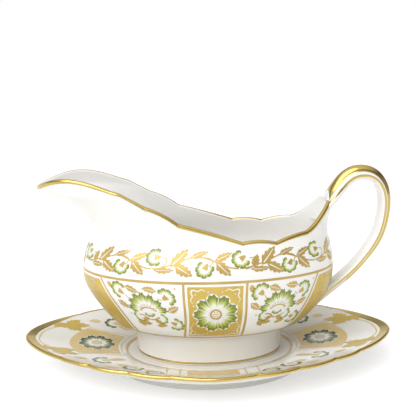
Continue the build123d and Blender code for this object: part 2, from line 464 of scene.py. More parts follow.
def dish_chart(x0, y0):
    """Maps a flat pattern to the stand's top, with its origin at this place."""

    def place(flat, lift):
        x, y = np.transpose(flat) + np.array([[x0], [y0]])
        step = 0.3
        z = dish_height(x, y)
        slope_x = (dish_height(x + step, y) - dish_height(x - step, y)) / (2 * step)
        slope_y = (dish_height(x, y + step) - dish_height(x, y - step)) / (2 * step)
        normal = unit(np.stack([-slope_x, -slope_y, np.ones_like(z)], -1))
        return np.stack([x, y, z], -1) + lift * normal

    return place


# ---- Meshes --------------------------------------------------------------------------------------
def make_object(name, points, faces, material, body, attributes=None):
    """A smooth mesh object that rides on a body."""
    mesh = bpy.data.meshes.new(name)
    mesh.from_pydata([tuple(p) for p in np.asarray(points, float) * MM], [], faces)
    for key, values in (attributes or {}).items():
        layer = mesh.attributes.new(key, "FLOAT", "POINT")
        layer.data.foreach_set("value", np.asarray(values, np.float32))
    mesh.polygons.foreach_set("use_smooth", [True] * len(mesh.polygons))
    mesh.update()
    obj = bpy.data.objects.new(name, mesh)
    bpy.context.scene.collection.objects.link(obj)
    mesh.materials.append(material)
    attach(obj, body)
    return obj


def grid_faces(rows, columns, wrap=True, loop=False, first=0):
    """Quads of a grid of points, row by row."""
    faces = []
    for r in range(rows if loop else rows - 1):
        for c in range(columns if wrap else columns - 1):
            right = (c + 1) % columns
            up = (r + 1) % rows
            faces.append((first + r * columns + c, first + r * columns + right,
                          first + up * columns + right, first + up * columns + c))
    return faces


def skin(name, rows, material, body, wrap=True, loop=False, closed=True):
    """A mesh through rows of points; closed ones end in a fan at each end."""
    grid = np.asarray(rows, float)
    count, columns, _ = grid.shape
    points = grid.reshape(-1, 3)
    faces = grid_faces(count, columns, wrap, loop)
    if closed and not loop:
        points = np.vstack([points, grid[0].mean(0), grid[-1].mean(0)])
        low = len(points) - 2
        last = (count - 1) * columns
        faces += [(low, (c + 1) % columns, c) for c in range(columns)]
        faces += [(low + 1, last + c, last + (c + 1) % columns) for c in range(columns)]
    obj = make_object(name, points, faces, material, body)
    if closed or loop:
        turn_outward(obj)
    return obj


def turn_outward(obj):
    """Points every face of a closed mesh outwards."""
    edit = bmesh.new()
    edit.from_mesh(obj.data)
    bmesh.ops.recalc_face_normals(edit, faces=edit.faces)
    edit.to_mesh(obj.data)
    edit.free()


class Sheet:
    """Flat printed shapes that gather into one mesh."""

    def __init__(self, mirrors=((1, 1),)):
        self.points = []
        self.faces = []
        self.fade = []
        self.streak = []
        self.mirrors = mirrors

    def add(self, points, faces, fade=None, streak=None):
        """Adds faces, once for each mirror image."""
        points = np.asarray(points, float)
        fade = np.zeros(len(points)) if fade is None else np.ravel(fade)
        streak = np.zeros(len(points)) if streak is None else np.ravel(streak)
        for sx, sy in self.mirrors:
            first = sum(len(p) for p in self.points)
            self.points.append(points * np.array([sx, sy, 1]))
            order = 1 if sx * sy > 0 else -1
            self.faces += [tuple(first + i for i in face[::order]) for face in faces]
            self.fade.append(fade)
            self.streak.append(streak)

    def shape(self, chart, outline, lift=SKIN_LIFT):
        """A filled outline."""
        corners = split_edges(np.asarray(outline, float), SPACING)
        inner = lattice_inside(corners, SPACING)
        flat = [Vector(p) for p in np.vstack([corners, inner])]
        loop = list(range(len(corners)))
        made = delaunay_2d_cdt(flat, [], [loop], 1, 1e-5)
        points = np.array([tuple(p) for p in made[0]])
        faces = [tuple(f) if signed_area(points[list(f)]) > 0 else tuple(f)[::-1] for f in made[2]]
        if faces:
            self.add(chart(points, lift), faces)

    def line(self, chart, path, width, lift=SKIN_LIFT, closed=False):
        """A ribbon along a path; width is one number or one for each point."""
        path = np.asarray(path, float)
        widths = np.broadcast_to(np.asarray(width, float), (len(path),))
        path, widths = finer_path(path, widths, SPACING, closed)
        if closed:
            ahead = np.roll(path, -1, 0) - np.roll(path, 1, 0)
        else:
            ahead = np.gradient(path, axis=0)
        side = unit(np.stack([-ahead[:, 1], ahead[:, 0]], -1)) * widths[:, None] / 2
        rows = np.stack([path - side, path, path + side], 1)
        count = len(path)
        faces = []
        for i in range(count if closed else count - 1):
            n = (i + 1) % count
            for k in (0, 1):
                faces.append((3 * i + k, 3 * n + k, 3 * n + k + 1, 3 * i + k + 1))
        self.add(chart(rows.reshape(-1, 2), lift), faces)

    def dot(self, chart, at, radius, lift=SKIN_LIFT, sides=10):
        """A small round dot."""
        angle = np.linspace(0, 2 * math.pi, sides, endpoint=False)
        ring = np.stack([np.cos(angle), np.sin(angle)], -1) * radius + np.asarray(at, float)
        points = np.vstack([ring, [at]])
        self.add(chart(points, lift), [(i, (i + 1) % sides, sides) for i in range(sides)])

    def petals(self, chart, radius, hollow, start, sweep, count, lift=SKIN_LIFT, depth=0.16, tooth=0.035):
        """A fan of feathered petals, from start through sweep degrees."""
        for k in range(count):
            v = np.linspace(0.03, 0.97, 15)
            angle = np.radians(start + sweep * (k + v) / count)
            edge = radius * (1 - depth * (1 - np.sin(math.pi * v) ** 0.65) + tooth * np.cos(6 * math.pi * v))
            rings = np.linspace(hollow, 1, 7)
            reach = rings[:, None] * edge[None]
            flat = np.stack([reach * np.cos(angle), reach * np.sin(angle)], -1).reshape(-1, 2)
            share = np.repeat((rings - hollow) / (1 - hollow), len(v))
            streak = np.tile((np.arange(len(v)) * 0.618 + 0.37 * k) % 1, len(rings))
            self.add(chart(flat, lift), grid_faces(len(rings), len(v), wrap=False), share, streak)

    def build(self, name, material, body, slot):
        """The gathered mesh as an object."""
        attributes = {"fade": np.concatenate(self.fade), "streak": np.concatenate(self.streak)}
        return make_object(name, np.vstack(self.points), self.faces, material, body, attributes)


def signed_area(points):
    """Area of a flat outline, positive if it runs anticlockwise."""
    x = points[:, 0]
    y = points[:, 1]
    return 0.5 * float(np.sum(x * np.roll(y, -1) - np.roll(x, -1) * y))


def split_edges(outline, spacing):
    """The outline with its long edges split."""
    points = []
    for start, end in zip(outline, np.roll(outline, -1, 0)):
        parts = max(1, int(np.linalg.norm(end - start) / spacing + 0.5))
        points += [start + (end - start) * k / parts for k in range(parts)]
    return np.array(points)


def finer_path(path, widths, spacing, closed):
    """The path and its widths with long steps split."""
    points = []
    sizes = []
    pairs = len(path) if closed else len(path) - 1
    for i in range(pairs):
        n = (i + 1) % len(path)
        parts = max(1, int(np.linalg.norm(path[n] - path[i]) / spacing + 0.5))
        for k in range(parts):
            points.append(path[i] + (path[n] - path[i]) * k / parts)
            sizes.append(widths[i] + (widths[n] - widths[i]) * k / parts)
    if not closed:
        points.append(path[-1])
        sizes.append(widths[-1])
    return np.array(points), np.array(sizes)


def lattice_inside(outline, spacing):
    """Evenly spaced points inside an outline."""
    low = outline.min(0) + 0.37 * spacing
    high = outline.max(0)
    xs, ys = np.meshgrid(np.arange(low[0], high[0], spacing), np.arange(low[1], high[1], spacing))
    points = np.stack([xs.ravel(), ys.ravel()], -1)
    if not len(points):
        return points.reshape(0, 2)
    inside = np.zeros(len(points), bool)
    near = np.full(len(points), 1e9)
    for start, end in zip(outline, np.roll(outline, -1, 0)):
        crosses = (start[1] > points[:, 1]) != (end[1] > points[:, 1])
        rise = end[1] - start[1]
        rise = rise if abs(rise) > 1e-12 else 1e-12
        reach = start[0] + (end[0] - start[0]) * (points[:, 1] - start[1]) / rise
        inside ^= crosses & (points[:, 0] < reach)
        near = np.minimum(near, np.linalg.norm(points - start, axis=1))
    return points[inside & (near > 0.45 * spacing)]


# ---- Motifs --------------------------------------------------------------------------------------
LEAF_EDGE = ((0.0, 0.10), (0.13, 0.42), (0.25, 0.85), (0.36, 1.0), (0.38, 0.70), (0.52, 0.92),
             (0.60, 0.90), (0.62, 0.58), (0.74, 0.66), (0.82, 0.58), (0.84, 0.30), (0.93, 0.22))


def leaf_outline(length, width, bend=0.0):
    """A toothed leaf that starts at the origin and points along the first axis."""
    upper = [(t * length, w * width / 2) for t, w in LEAF_EDGE]
    lower = [(t * length, -w * width / 2) for t, w in LEAF_EDGE[::-1]]
    points = np.array(upper + [(length, 0.0)] + lower)
    points[:, 1] += bend * (points[:, 0] / length) ** 2
    return points


def bud_outline(length, width):
    """A bell-shaped flower cup from the origin along the first axis."""
    share = ((0.0, 0.12), (0.2, 0.55), (0.55, 0.8), (0.85, 1.0), (1.0, 0.85), (0.88, 0.45), (1.0, 0.0))
    upper = [(t * length, w * width / 2) for t, w in share]
    lower = [(t * length, -w * width / 2) for t, w in share[-2::-1]]
    return np.array(upper + lower)


def curved(points, count=24):
    """A smooth path through a few points."""
    along, (x, y) = through(points)
    t = np.linspace(0, along[-1], count)
    return np.stack([x(t), y(t)], -1)


def add_leaf(prints, chart, at, turn, length, width, bend=0.0, rib=True):
    """A gold leaf, with a light rib where one is asked for."""
    gold, white = prints
    own = chained(chart, at, turn)
    gold.shape(own, leaf_outline(length, width, bend))
    if rib:
        t = np.linspace(0.12, 0.86, 8)
        path = np.stack([t * length, bend * t**2], -1)
        white.line(own, path, 0.34 * np.linspace(1.2, 0.5, 8) * width / 4.2, EDGE_LIFT)


def add_leaves(prints, chart, leaves):
    """Gold leaves by place, turn, length, width and bend; the narrowest have no rib."""
    for at, turn, length, width, bend in leaves:
        add_leaf(prints, chart, at, turn, length, width, bend, rib=width > 3.4)


def build_sheets(sheets, body):
    """The objects of several sheets."""
    for sheet, name, material, slot in sheets:
        sheet.build(name, material, body, slot)


def add_small_flower(gold, green, chart, at, radius, opening, sweep=265.0):
    """A small round flower, open on one side where its gold cup sits."""
    own = chained(chart, at, opening)
    green.petals(own, radius, 0.40, (360 - sweep) / 2, sweep, 6)
    gold.shape(chained(own, (radius * 0.62, 0.0), 180), bud_outline(radius * 0.72, radius * 0.62))


# ---- Materials -----------------------------------------------------------------------------------
def new_material(name):
    """A material with a Principled shader, and its nodes and links."""
    material = bpy.data.materials.new(name)
    material.use_nodes = True
    nodes = material.node_tree.nodes
    links = material.node_tree.links
    nodes.clear()
    output = nodes.new("ShaderNodeOutputMaterial")
    shader = nodes.new("ShaderNodeBsdfPrincipled")
    links.new(shader.outputs["BSDF"], output.inputs["Surface"])
    return material, nodes, links, shader


def noise(nodes, links, scale, detail=2.0):
    """Noise in object space."""
    place = nodes.new("ShaderNodeTexCoord")
    texture = nodes.new("ShaderNodeTexNoise")
    texture.inputs["Scale"].default_value = scale
    texture.inputs["Detail"].default_value = detail
    links.new(place.outputs["Object"], texture.inputs["Vector"])
    return texture


def ramp(nodes, links, source, stops):
    """A colour ramp fed by source."""
    node = nodes.new("ShaderNodeValToRGB")
    elements = node.color_ramp.elements
    while len(elements) > len(stops):
        elements.remove(elements[-1])
    while len(elements) < len(stops):
        elements.new(0.5)
    for element, (place, colour) in zip(elements, stops):
        element.position = place
        element.color = (*colour, 1.0)
    links.new(source, node.inputs["Fac"])
    return node


def level(nodes, links, source, low, high):
    """Source, from 0 to 1, moved to the range low to high."""
    node = nodes.new("ShaderNodeMapRange")
    node.inputs["To Min"].default_value = low
    node.inputs["To Max"].default_value = high
    links.new(source, node.inputs["Value"])
    return node


def blend_colours(nodes, links, blend_type, first, second, factor=None):
    """A mix node of two colours, full unless a factor drives it."""
    mix = nodes.new("ShaderNodeMix")
    mix.data_type = "RGBA"
    mix.blend_type = blend_type
    mix.inputs["Factor"].default_value = 1.0
    links.new(first, mix.inputs["A"])
    if second is not None:
        links.new(second, mix.inputs["B"])
    if factor is not None:
        links.new(factor, mix.inputs["Factor"])
    return mix


def scaled_sum(nodes, links, source, factor, rest):
    """Source times factor, plus rest."""
    node = nodes.new("ShaderNodeMath")
    node.operation = "MULTIPLY_ADD"
    node.inputs[1].default_value = factor
    links.new(source, node.inputs[0])
    links.new(rest, node.inputs[2])
    return node


def mottled(nodes, links, shader, scale, detail, stops):
    """Base colour that wanders between two tones."""
    tone = noise(nodes, links, scale, detail)
    tint = ramp(nodes, links, tone.outputs["Fac"], stops)
    links.new(tint.outputs["Color"], shader.inputs["Base Color"])


def uneven_gloss(nodes, links, shader, scale, low, high):
    """Roughness that wanders between two values."""
    fine = noise(nodes, links, scale)
    gloss = level(nodes, links, fine.outputs["Fac"], low, high)
    links.new(gloss.outputs["Result"], shader.inputs["Roughness"])


def wavy_surface(nodes, links, shader, scale, strength, distance):
    """A soft bump."""
    wave = noise(nodes, links, scale, 1.0)
    bump = nodes.new("ShaderNodeBump")
    bump.inputs["Strength"].default_value = strength
    bump.inputs["Distance"].default_value = distance
    links.new(wave.outputs["Fac"], bump.inputs["Height"])
    links.new(bump.outputs["Normal"], shader.inputs["Normal"])


def glazed_china(name, light, deep):
    """White china under a clear glaze, a little uneven in tone and in its surface."""
    material, nodes, links, shader = new_material(name)
    mottled(nodes, links, shader, 14.0, 2.0, ((0.3, deep), (0.7, light)))
    uneven_gloss(nodes, links, shader, 60.0, 0.07, 0.13)
    wavy_surface(nodes, links, shader, 22.0, 0.05, 0.0012)
    shader.inputs["IOR"].default_value = 1.5
    return material


def bright_gold(name):
    """Burnished gilding on the rims and the handle."""
    material, nodes, links, shader = new_material(name)
    mottled(nodes, links, shader, 30.0, 2.0, ((0.3, (0.53, 0.385, 0.105)), (0.7, (0.63, 0.475, 0.165))))
    uneven_gloss(nodes, links, shader, 160.0, 0.16, 0.26)
    wavy_surface(nodes, links, shader, 55.0, 0.25, 0.0015)
    shader.inputs["Metallic"].default_value = 1.0
    return material


def printed_gold(name, light, deep, metallic):
    """Flat gold of the printed pattern."""
    material, nodes, links, shader = new_material(name)
    mottled(nodes, links, shader, 90.0, 3.0, ((0.35, deep), (0.65, light)))
    uneven_gloss(nodes, links, shader, 300.0, 0.26, 0.38)
    shader.inputs["Metallic"].default_value = metallic
    return material


def petal_enamel(name, *greens):
    """Petals that run from white through pale green to strong green tips in feathered streaks."""
    material, nodes, links, shader = new_material(name)
    fade = nodes.new("ShaderNodeAttribute")
    fade.attribute_name = "fade"
    streak = nodes.new("ShaderNodeAttribute")
    streak.attribute_name = "streak"
    tone = noise(nodes, links, 220.0)
    push = scaled_sum(nodes, links, streak.outputs["Fac"], 0.34, fade.outputs["Fac"])
    mottle = scaled_sum(nodes, links, tone.outputs["Fac"], 0.12, push.outputs["Value"])
    stops = tuple(zip((0.45, 0.70, 0.92, 1.0), (PETAL_WHITE, *greens)))
    tint = ramp(nodes, links, mottle.outputs["Value"], stops)
    links.new(tint.outputs["Color"], shader.inputs["Base Color"])
    shader.inputs["Roughness"].default_value = 0.14
    shader.inputs["IOR"].default_value = 1.5
    return material


CHINA = glazed_china("china", (0.895, 0.885, 0.86), (0.87, 0.86, 0.83))
# The stand is the same china as the boat; its darker, creamier tone is painted shade, and it carries into the
# stand's white scrolls and ribs.
SHADED_CHINA_STAND = glazed_china("china_stand_painted_shade", (0.76, 0.745, 0.705), (0.73, 0.715, 0.67))
GILDING = bright_gold("gilding")
PRINT_GOLD = printed_gold("print_gold", (0.58, 0.405, 0.125), (0.50, 0.34, 0.085), 0.35)
PANEL_GOLD = printed_gold("panel_gold", (0.64, 0.46, 0.11), (0.56, 0.40, 0.075), 0.4)
STAND_GOLD = printed_gold("stand_gold", (0.70, 0.53, 0.23), (0.64, 0.47, 0.18), 0.25)
PETAL_WHITE = (0.86, 0.86, 0.82)
PETALS = petal_enamel("petal_enamel", (0.53, 0.58, 0.15), (0.31, 0.37, 0.045), (0.20, 0.24, 0.03))
PETALS_DARK = petal_enamel("petal_enamel_dark", (0.27, 0.29, 0.13), (0.11, 0.13, 0.04), (0.06, 0.08, 0.02))


# ---- Boat ----------------------------------------------------------------------------------------
RIM_ROUND = 1.2
RIM_DROP = 0.9  # how far below the rim its rounding starts, measured up the wall
RIM_COLUMNS = 560


def rim_frame(psi):
    """Points under the rounded rim, with the outward and upward directions there."""
    top = rim_level(psi)
    rise = unit(wall(psi, top + 0.1) - wall(psi, top - 0.1))
    z = top - RIM_DROP * rise[:, 2]
    outer = wall(psi, z)
    normal = wall_normal(psi, z)
    along = unit(np.roll(outer, -1, 0) - np.roll(outer, 1, 0))
    up = unit(np.cross(along, normal))
    up *= np.where(up[:, 2:] < 0, -1, 1)
    return z, outer, normal, up


SMOOTH_REACH = 24  # columns each side over which the lower rows even out the scallops of the rim


def build_boat_body():
    """The hollow body with a rounded, scalloped rim."""
    psi = wall_columns(RIM_COLUMNS)
    z_top, outer, normal, up = rim_frame(psi)
    ring = np.concatenate([z_top[-SMOOTH_REACH:], z_top, z_top[:SMOOTH_REACH]])
    even_top = np.convolve(ring, np.hanning(2 * SMOOTH_REACH + 1) / SMOOTH_REACH, "valid")

    def height(share):
        return FOOT_TOP + (even_top - FOOT_TOP) * share + (z_top - even_top) * share**8

    rows = [wall(psi, height(share)) for share in np.linspace(0, 1, 96) ** 1.25]
    middle = outer - normal * WALL / 2
    for angle in np.radians(np.linspace(15, 165, 11)):
        rows.append(middle + normal * (WALL / 2 * math.cos(angle)) + up * (RIM_ROUND * math.sin(angle)))
    for share in np.linspace(1, 0, 64) ** 1.2:
        rows.append(off_wall(psi, height(share), -WALL))
    floor = rows[-1]
    centre = floor.mean(0)
    for share in (0.9, 0.75, 0.55, 0.3):
        rows.append(centre + (floor - centre) * share - np.array([0, 0, 0.5 * (1 - share**2)]))
    base = rows[0]
    under = [base * np.array([share, share, 1]) for share in (0.25, 0.6, 0.92)]
    obj = skin("boat_body_china", under + rows, CHINA, "boat")
    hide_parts("boat_body")


RIM_LIFT = 0.10  # how far the gilding stands off the rim
HANDLE_SIDE_X = 55.0


def build_rim_gilding():
    """The gold line over the boat's rim, left out where the handle springs from it."""
    psi = wall_columns(RIM_COLUMNS)
    z_top, outer, normal, up = rim_frame(psi)
    middle = outer - normal * WALL / 2
    rows = []
    down = unit(wall(psi, z_top - 0.6) - outer)
    for drop, out in ((1.05, 0.02), (0.85, 0.18), (0.5, 0.27), (0.15, 0.27)):
        rows.append(outer + down * drop + normal * out)
    for angle in np.radians(np.linspace(8, 122, 11)):
        swell = RIM_LIFT + 0.12 * max(math.cos(angle), 0)
        rows.append(middle + normal * ((WALL / 2 + swell) * math.cos(angle))
                    + up * ((RIM_ROUND + RIM_LIFT) * math.sin(angle)))
    last = math.radians(128)  # where the gilding's inside edge sinks into the china
    rows.append(middle + normal * (WALL / 2 * math.cos(last)) + up * ((RIM_ROUND - 0.05) * math.sin(last)))
    grid = np.array(rows)[:, np.argsort(psi)]
    x, y, _ = grid[0].T
    shown = (x <= HANDLE_SIDE_X) | (np.abs(y) >= line_start()[1] - 1.6)
    start = int(np.argmin(shown))
    grid = np.roll(grid, -start, axis=1)[:, np.roll(shown, -start)]
    skin("boat_rim_gilding", grid, GILDING, "boat", wrap=False, closed=False)


def ring_rows(half, sections):
    """Rows of an oval ring through (inset, height) points of its section."""
    angle = np.linspace(0, 2 * math.pi, 240, endpoint=False)
    rows = []
    for inset, z in sections:
        flat = superellipse(half[0] - inset, half[1] - inset, 2.0, angle)
        rows.append(np.column_stack([flat, np.full(len(angle), z)]))
    return rows


def rounded_foot(wall_width, bottom, top, flare=0.0, edge=0.9):
    """Section of a foot ring: outside face, cut top, inside face and rounded bottom edge."""
    height = top - bottom
    points = []
    for share in np.linspace(0, 1, 9):
        points.append((-flare * share, bottom + edge + (height - edge) * share))
    for share in np.linspace(1, 0, 9):
        points.append((wall_width - flare * share, bottom + edge + (height - edge) * share))
    for angle in np.radians(np.linspace(0, 90, 5)[1:]):
        points.append((wall_width - edge + edge * math.cos(angle), bottom + edge - edge * math.sin(angle)))
    for angle in np.radians(np.linspace(90, 0, 5)[:-1]):
        points.append((edge - edge * math.cos(angle), bottom + edge - edge * math.sin(angle)))
    return points


def build_boat_foot():
    """The oval foot, flush with the body above it, with a gold line round its base."""
    profile = rounded_foot(FOOT_WALL, WELL_Z, FOOT_TOP + 0.6, FOOT_FLARE)
    obj = skin("boat_foot_china", ring_rows(FOOT_HALF, profile), CHINA, "boat", loop=True)
    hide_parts("boat_foot")
    line = [(0.02, WELL_Z + 0.9), (-0.16, WELL_Z + 1.1), (-0.26, WELL_Z + 1.6), (-0.24, WELL_Z + 2.0),
            (-0.10, WELL_Z + 2.3)]
    skin("boat_foot_line", ring_rows(FOOT_HALF, line), GILDING, "boat", closed=False)


# ---- Handle --------------------------------------------------------------------------------------
def section_curve(half):
    """Splines of a whole section against the share of the points passed, from the inside face."""
    ring = list(half) + [(-y, n) for y, n in half[-2:0:-1]]
    points = np.array(ring[-4:] + ring + ring[:5])
    share = (np.arange(len(points)) - 4.0) / len(ring)
    return natural_spline(share, points[:, 0]), natural_spline(share, points[:, 1])


MOULDED_ACROSS, MOULDED_OUT = section_curve(HANDLE_SECTION)
PLAIN_ACROSS, PLAIN_OUT = section_curve(PLAIN_SECTION)
STATION_LENGTH, STATION = through(HANDLE_STATIONS)


def handle_surface(s, m, lift=0.0):
    """Points of the handle at distance s along it and share m round its section."""
    s, m = np.broadcast_arrays(np.asarray(s, float), np.asarray(m, float))
    x, z, thick, wide, bow, mould = [f(s) for f in STATION]
    mould = np.clip(mould, 0, 1)
    step = 0.3
    ahead = unit(np.stack([f(s + step) - f(s - step) for f in STATION[:2]], -1))
    out = np.stack([-ahead[..., 1], ahead[..., 0]], -1)
    across = MOULDED_ACROSS(m) * mould + PLAIN_ACROSS(m) * (1 - mould)
    height = (MOULDED_OUT(m) * mould + PLAIN_OUT(m) * (1 - mould)) * thick / 2
    side_x = x + out[..., 0] * height - bow * across**2
    points = np.stack([side_x, across * wide, z + out[..., 1] * height], -1)
    if lift:
        around = handle_surface(s, m + 0.004) - handle_surface(s, m - 0.004)
        forward = handle_surface(s + 0.1, m) - handle_surface(s - 0.1, m)
        normal = unit(np.cross(around, forward))
        core = np.stack([x - bow * across**2, 0.5 * across * wide, z], -1)
        sign = np.sign(np.sum(normal * (points - core), -1, keepdims=True))
        points = points + normal * sign * lift
    return points


MARK = 1.0 / (2 * len(HANDLE_SECTION) - 2)  # share of the section from one of its points to the next
LINE_LOW = 5.2 * MARK
LINE_HIGH = 6.5 * MARK
RIDGE_HALF = 0.5 - 9.6 * MARK
LINE_SLIDE = 2.4 * MARK  # how much nearer to the ridge the side lines leave the rim
LINE_SLIDE_LENGTH = 14.0
RIDGE_NOTCH = 2.2  # the ridge gilding starts this much lower at its edges, and higher in its middle


def line_start():
    """Distance along the handle where its side line leaves the rim of the boat, and its Y there."""
    rear = np.linspace(0.25 * math.pi, 0.5 * math.pi, 400)
    rim = wall(rear, rim_level(rear))
    s = np.linspace(0, float(STATION_LENGTH[4]), 300)
    middle = handle_surface(s, (LINE_LOW + LINE_HIGH) / 2 + LINE_SLIDE)
    rim_z = np.interp(-np.abs(middle[:, 1]), rim[:, 1], rim[:, 2])
    k = int(np.argmax(middle[:, 2] > rim_z - 0.6))
    return float(s[k]), float(abs(middle[k, 1]))


def build_handle():
    """The moulded strap handle, its gilded ridge and the gold lines on its sides."""
    s = np.linspace(0, STATION_LENGTH[-1], 220)
    m = np.linspace(0, 1, 84, endpoint=False)
    grid = handle_surface(s[:, None], m[None])
    obj = skin("boat_handle_china", grid, CHINA, "boat")
    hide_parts("boat_handle")
    share = np.linspace(-1, 1, 21)
    first = float(STATION_LENGTH[3]) + RIDGE_NOTCH * (1 - 2 * np.abs(share) ** 1.6)
    last = float(STATION_LENGTH[15]) + 1.0
    along = np.linspace(0, 1, 180)[:, None]
    s = first + (last - first) * along
    reach = RIDGE_HALF * np.maximum(np.clip((last - s) / 7.0, 0, 1) ** 0.8, 0.02)
    grid = handle_surface(s, 0.5 + reach * share, 0.07)
    skin("handle_ridge_gilding", grid, GILDING, "boat", wrap=False, closed=False)
    s = np.linspace(line_start()[0] - 1.6, float(STATION_LENGTH[-1]) - 2.0, 190)
    slide = LINE_SLIDE * np.clip(1 - (s - s[0]) / LINE_SLIDE_LENGTH, 0, 1) ** 1.5
    across = np.linspace(LINE_LOW, LINE_HIGH, 7)
    for name, side in (("near", -1), ("far", 1)):
        grid = handle_surface(s[:, None], side * (across + slide[:, None]) % 1.0, 0.09)
        skin(f"handle_line_{name}", grid, GILDING, "boat", wrap=False, closed=False)


# ---- Stand ---------------------------------------------------------------------------------------
STAND_COLUMNS = 720
EDGE_ROUND = 0.95


def stand_row(table, s, angle):
    """A row of the dish at distance s along its table."""
    flat = superellipse(table[0](s), table[2](s), table[3](s), angle)
    lift = edge_blend_at(table[0](s)) * tip_lift(flat[:, 0])
    return np.column_stack([flat, table[1](s) + lift])


def edge_rows(angle, low, high, lift=0.0):
    """Rows round the rounded edge, from the angle low to high in degrees above level."""
    outline = stand_outline(angle)
    inward = unit(outline)
    middle = outline - inward * EDGE_ROUND
    z = STAND_RIM_Z + tip_lift(outline[:, 0]) - EDGE_ROUND
    rows = []
    for tilt in np.radians(np.linspace(low, high, 9)):
        flat = middle + inward * ((EDGE_ROUND + lift) * math.cos(tilt))
        rows.append(np.column_stack([flat, z + (EDGE_ROUND + lift) * math.sin(tilt)]))
    return rows


def build_stand():
    """The scalloped dish and its foot ring."""
    angle = stand_columns(STAND_COLUMNS)
    well = stand_row(ABOVE, 0.0, angle)
    rows = [well * np.array([share, share, 1]) for share in (0.2, 0.6, 0.9, 0.985)]
    rows += [stand_row(ABOVE, s, angle) for s in np.linspace(0, ABOVE_LENGTH[-1], 56)]
    rows += edge_rows(angle, 90, -90)
    rows += [stand_row(BELOW, s, angle) for s in np.linspace(BELOW_LENGTH[-1], 0, 26)]
    base = rows[-1]
    rows += [base * np.array([share, share, 1]) for share in (0.9, 0.5, 0.15)]
    obj = skin("stand_dish_china", rows, SHADED_CHINA_STAND, "stand")
    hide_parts("stand_dish")
    profile = rounded_foot(STAND_FOOT_WALL, 0.0, STAND_FOOT_TOP + 0.4, 0.0, 1.1)
    ring = skin("stand_foot_china", ring_rows(STAND_FOOT_HALF, profile), SHADED_CHINA_STAND, "stand",
                loop=True)
    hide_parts("stand_foot_ring")


def band_width(outline, angle):
    """Width of the gilded band inside the stand's edge: narrow on the sides, wide at the tips."""
    tip = eased((np.abs(outline[:, 0]) - 84) / 22)
    scallop = np.abs(np.sin(math.pi * scallop_place(angle)[1]))
    return 1.3 + 0.7 * scallop * (1 - tip) + 4.2 * tip


def build_stand_gilding():
    """The gold edge of the stand."""
    angle = stand_columns(STAND_COLUMNS)
    outline = stand_outline(angle)
    inward = unit(outline)
    width = band_width(outline, angle)
    rows = []
    for share in np.linspace(0, 1, 7):
        inset = EDGE_ROUND + (width - EDGE_ROUND + 0.4) * (1 - share)
        flat = outline - inward * inset[:, None]
        z = dish_height(flat[:, 0], flat[:, 1])
        top = STAND_RIM_Z + tip_lift(outline[:, 0])
        blend = eased(1 - (inset - EDGE_ROUND) / 1.6)
        rows.append(np.column_stack([flat, z * (1 - blend) + top * blend + 0.08]))
    rows += edge_rows(angle, 90, -50, 0.09)[1:]
    skin("stand_rim_gilding", rows, GILDING, "stand", closed=False)


# ---- Printed pattern on the boat -----------------------------------------------------------------
def draw_frieze(gold, white, green):
    """The scrolling stem with flowers and paired leaves round the shoulder, in two alternating parts."""
    period = 1.0 / FRIEZE_PERIODS
    whole = 2 * float(half_perimeter(FRIEZE_Z))
    width = whole * period
    prints = (gold, white)
    for k in range(FRIEZE_PERIODS):
        odd = k % 2
        origin = FRIEZE_START / whole + k * period
        chart = wall_chart(round_share(origin), FRIEZE_Z)

        def at(a, b, odd=odd):
            return (a + 3.4 * odd * math.exp(-(((a - 15.0) / 9.0) ** 2)), b)

        swing = np.linspace(0, 1, 29)
        stem = [at(t * width, -3.3 * math.cos(2 * math.pi * t)) for t in swing]
        gold.line(chart, stem, 0.72)
        add_small_flower(gold, green, chart, at(0.6, 3.3 - 1.5 * odd), 5.3, 5 + 30 * odd)
        stalk = ((2.6, -3.1), (6.0, -1.6), (7.4, 1.2), (6.0, 3.2), (4.6, 3.0))
        gold.line(chart, curved([at(a, b - 0.7 * odd) for a, b in stalk]), 0.55)
        if odd:
            add_leaf(prints, chart, at(6.6, -3.0), 82, 7.6, 4.6, -1.0, rib=False)
        add_leaves(prints, chart, (
            (at(1.0 + 4.0 * odd, -3.9), -4, 11.0, 3.6, 0.9), (at(9.8, -1.8), 48, 12.8, 6.8, 1.0),
            (at(12.2, -1.2), -33, 11.4, 6.2, 0.6), (at(19.5, 2.9), 26, 10.0, 3.8, -0.8)))
        add_small_flower(gold, green, chart, at(28.2, -3.1), 5.1, 68)
        stalk = ((25.0, 3.2), (29.5, 2.8), (31.8, 1.2), (31.4, -0.8), (30.2, -1.9))
        gold.line(chart, curved([at(a, b) for a, b in stalk]), 0.55)
        add_leaves(prints, chart, ((at(33.0, 1.4), 22, 9.4, 5.0, 0.8), (at(34.0, 0.5), -46, 11.4, 5.8, 1.0)))


def draw_rosette(white, green, gold, chart, radius, petals=9):
    """A round flower with a white edge and a gold ring in the middle."""
    angle = np.linspace(0, 2 * math.pi, petals * 12, endpoint=False)
    edge = 1.06 * radius * (1 - 0.22 * (1 - np.abs(np.sin(petals * angle / 2)) ** 0.65))
    white.shape(chart, np.stack([edge * np.cos(angle), edge * np.sin(angle)], -1), EDGE_LIFT)
    green.petals(chart, radius, 0.34, 0.0, 360.0, petals, PETAL_LIFT, depth=0.24, tooth=0.045)
    ring = np.stack([np.cos(angle), np.sin(angle)], -1)
    gold.line(chart, ring * radius * 0.235, radius * 0.085, CENTRE_LIFT, closed=True)
    for k in range(6):
        spot = (0.115 * radius * math.cos(math.pi * k / 3), 0.115 * radius * math.sin(math.pi * k / 3))
        gold.dot(chart, spot, radius * 0.032, CENTRE_LIFT)
    gold.dot(chart, (0.0, 0.0), radius * 0.036, CENTRE_LIFT)


